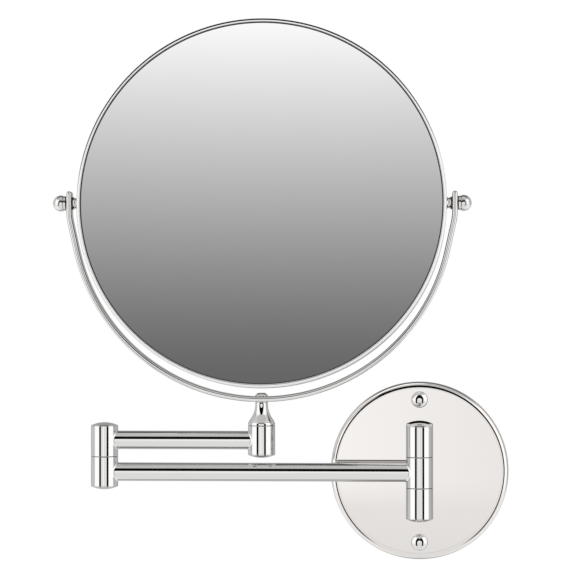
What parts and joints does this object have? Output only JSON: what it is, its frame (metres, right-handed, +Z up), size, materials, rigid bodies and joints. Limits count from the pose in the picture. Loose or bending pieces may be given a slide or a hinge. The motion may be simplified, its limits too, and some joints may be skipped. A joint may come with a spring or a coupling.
{
  "type": "extendable shaving mirror",
  "caption": "Round two-sided shaving mirror that tilts in a yoke on a folding, swinging double arm from a round chrome wall plate.",
  "frame": {"origin": "centre of the wall plate's back face, on the wall", "axes": "+Z up; +Y into the wall, square to it; +X to the right of someone who faces the wall"},
  "size_m": [0.2896, 0.0641, 0.3445],
  "materials": {
    "chrome": "polished chrome plate",
    "plate_chrome": "polished chrome plate on pressed steel",
    "bare_steel": "plain machined steel",
    "zinc_steel": "zinc plated",
    "black_nylon": "matte",
    "brown_fibre": "matte pressed fibre",
    "silvered_glass": "silvered float glass",
    "core_plastic": "moulded, matte"
  },
  "bodies": {
    "wall": {"wall_plate": "plate_chrome", "upper_fixed_knuckle": "chrome", "lower_fixed_knuckle": "chrome", "bracket_screws": "bare_steel", "fixing_screws": "zinc_steel", "upper_screw_cap": "chrome", "lower_screw_cap": "chrome", "wall_hinge_bolt": "bare_steel", "wall_hinge_nut": "zinc_steel", "wall_disc_spring": "bare_steel", "wall_top_cap": "chrome", "wall_bottom_cap": "chrome"},
    "lower_arm": {"lower_arm_tube": "chrome", "lower_arm_wall_knuckle": "chrome", "lower_arm_elbow_knuckle": "chrome", "wall_upper_washer": "black_nylon", "wall_lower_washer": "black_nylon", "elbow_bolt": "bare_steel", "elbow_nut": "zinc_steel", "elbow_bottom_cap": "chrome"},
    "upper_arm": {"upper_arm_tube": "chrome", "upper_arm_elbow_knuckle": "chrome", "upper_arm_stem_knuckle": "chrome", "elbow_washer": "black_nylon", "elbow_disc_spring": "bare_steel", "elbow_top_cap": "chrome", "stem_bottom_cap": "chrome"},
    "yoke": {"yoke": "chrome", "yoke_stem": "chrome", "yoke_screw": "chrome", "stem_bearing_washer": "black_nylon", "stem_spring_washer": "bare_steel", "stem_retaining_washer": "bare_steel", "stem_screw": "bare_steel"},
    "head": {"mirror_frame": "chrome", "rear_bezel": "chrome", "front_glass": "silvered_glass", "magnifying_glass": "silvered_glass", "core_disc": "core_plastic", "left_pivot_stud": "bare_steel", "right_pivot_stud": "bare_steel", "left_spacer": "chrome", "right_spacer": "chrome", "left_inner_washer": "brown_fibre", "right_inner_washer": "brown_fibre", "left_outer_washer": "brown_fibre", "right_outer_washer": "brown_fibre", "left_knob": "chrome", "right_knob": "chrome"}
  },
  "joints": [
    {"name": "wall_swing", "type": "hinge", "parent": "wall", "child": "lower_arm", "pos_m": [0, -0.025, 0], "axis": [0, 0, 1], "range_deg": [0, 180]},
    {"name": "elbow_fold", "type": "hinge", "parent": "lower_arm", "child": "upper_arm", "pos_m": [-0.2, -0.025, 0.0202], "axis": [0, 0, 1], "continuous": true},
    {"name": "yoke_swivel", "type": "hinge", "parent": "upper_arm", "child": "yoke", "pos_m": [-0.1, -0.025, 0.0294], "axis": [0, 0, 1], "continuous": true},
    {"name": "mirror_tilt", "type": "hinge", "parent": "yoke", "child": "head", "pos_m": [-0.1, -0.025, 0.17045], "axis": [1, 0, 0], "continuous": true}
  ]
}
